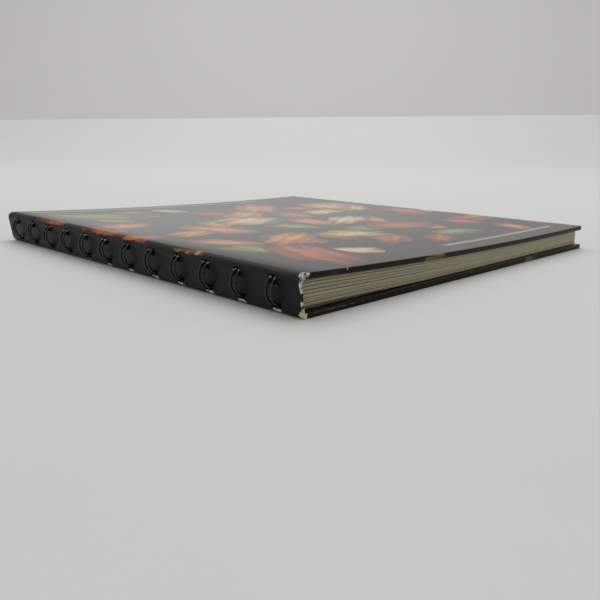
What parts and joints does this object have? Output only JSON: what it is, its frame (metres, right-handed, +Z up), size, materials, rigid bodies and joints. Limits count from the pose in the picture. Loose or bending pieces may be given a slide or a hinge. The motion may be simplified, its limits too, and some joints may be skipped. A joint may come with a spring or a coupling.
{
  "type": "wire-bound cookbook",
  "caption": "Nearly square hardcover cookbook with a slotted flat spine and a row of black twin wire loops through it; both covers swing open on paper hinges.",
  "frame": {"origin": "middle of the bottom of the book's box, on the table under the back cover", "axes": "+X from the spine to the fore edge, +Y from tail to head, +Z up through the front cover"},
  "size_m": [0.2334, 0.235, 0.0163],
  "materials": {
    "cover_paper": "satin",
    "card": "matte",
    "wire": "gloss",
    "pages": "matte",
    "liner_paper": "matte"
  },
  "bodies": {
    "spine": {"spine_wrap": "cover_paper", "spine_card": "card", "binding_wire": "wire", "page_block": "pages"},
    "front_cover": {"front_board": "card", "front_wrap": "cover_paper", "front_liner": "liner_paper"},
    "back_cover": {"back_board": "card", "back_wrap": "cover_paper", "back_liner": "liner_paper"}
  },
  "joints": [
    {"name": "front_hinge", "type": "hinge", "parent": "spine", "child": "front_cover", "pos_m": [-0.11064, 0, 0.0163], "axis": [0, -1, 0], "range_deg": [0, 180]},
    {"name": "back_hinge", "type": "hinge", "parent": "spine", "child": "back_cover", "pos_m": [-0.10981, 0, 0], "axis": [0, 1, 0], "range_deg": [0, 180]}
  ]
}
